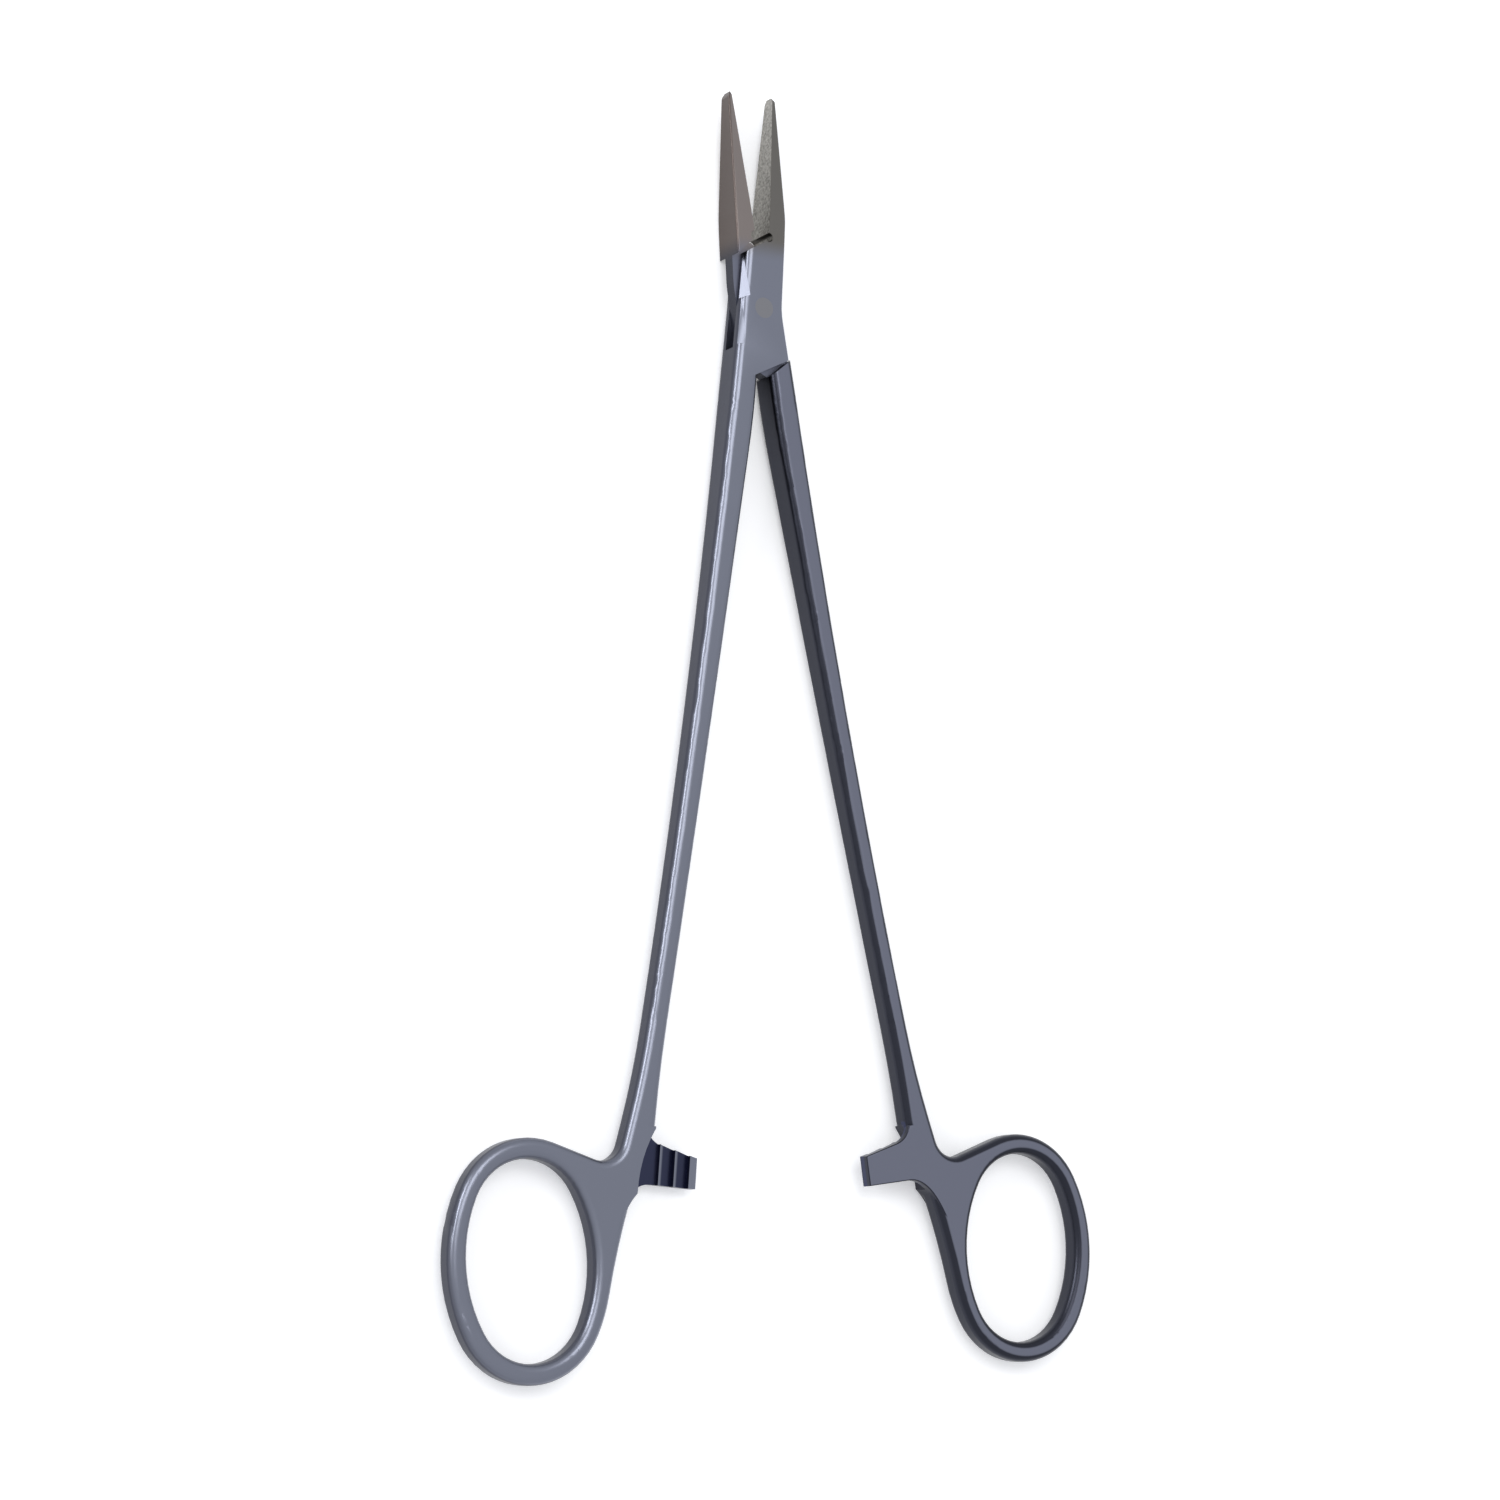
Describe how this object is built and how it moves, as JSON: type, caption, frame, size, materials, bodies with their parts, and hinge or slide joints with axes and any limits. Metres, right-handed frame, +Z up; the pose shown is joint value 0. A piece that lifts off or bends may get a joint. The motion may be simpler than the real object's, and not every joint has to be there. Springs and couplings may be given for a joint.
{
  "type": "surgical needle holder",
  "caption": "Ring-handled locking forceps with short tapered jaws, a box joint and a ratchet catch, for gripping a suture needle.",
  "frame": {"origin": "on the pivot's axis, at the back face of the box, which is the face that it lies on", "axes": "X across the instrument, +Y from the pivot to the jaw tips, +Z up from the surface that it lies on"},
  "size_m": [0.1044, 0.1821, 0.0052],
  "materials": {
    "satin_steel": "satin",
    "pin_steel": "satin"
  },
  "bodies": {
    "box_side": {"box_arm": "satin_steel", "pivot_pin": "pin_steel"},
    "through_side": {"through_arm": "satin_steel"}
  },
  "joints": [
    {"name": "arm_hinge", "type": "hinge", "parent": "box_side", "child": "through_side", "pos_m": [0, 0, 0.0026], "axis": [0, 0, 1], "range_deg": [-12.3, 30]}
  ]
}
